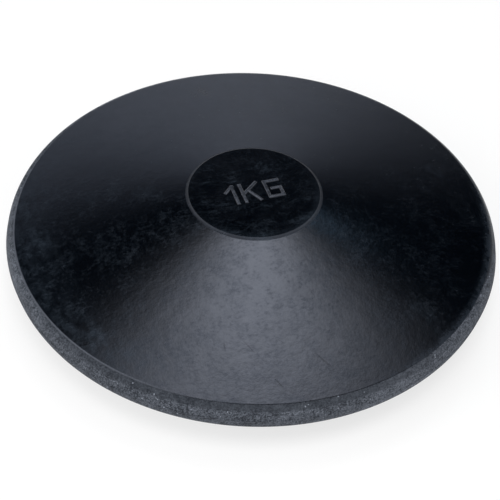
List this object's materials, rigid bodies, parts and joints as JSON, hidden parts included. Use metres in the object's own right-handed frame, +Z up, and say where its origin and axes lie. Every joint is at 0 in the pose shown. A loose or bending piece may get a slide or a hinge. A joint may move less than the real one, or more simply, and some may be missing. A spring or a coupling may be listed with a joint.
{
  "type": "throwing discus",
  "caption": "Rubber training discus: a flat round double cone with a rounded rim band, a raised hub disc on each side and a steel ballast plate inside.",
  "frame": {"origin": "centre of the lower hub face, which is the lowest face of the discus as it lies flat", "axes": "+Z up along the spin axis; +X along the line that the hub's mass mark is read on, left to right; +Y towards the top of the mark"},
  "size_m": [0.181, 0.181, 0.0384],
  "materials": {
    "face_rubber": "moulded black rubber, semi-gloss, with faint cloudy smudges and fine scuffs",
    "rim_rubber": "buffed rubber, matt grey-black, finely speckled",
    "hub_rubber": "moulded black rubber, smooth, darker than the faces",
    "core_rubber": "plain black rubber, unpolished, sealed inside",
    "steel": "plain mild steel, unpainted, sealed inside"
  },
  "bodies": {
    "root": {"upper_half_body": "face_rubber", "lower_half_body": "face_rubber", "rim_band": "rim_rubber", "upper_hub_disc": "hub_rubber", "lower_hub_disc": "hub_rubber", "ballast_plate": "steel", "rubber_key_1": "core_rubber", "rubber_key_2": "core_rubber", "rubber_key_3": "core_rubber", "rubber_key_4": "core_rubber", "rubber_key_5": "core_rubber", "rubber_key_6": "core_rubber", "locating_dowel": "steel"}
  },
  "joints": []
}
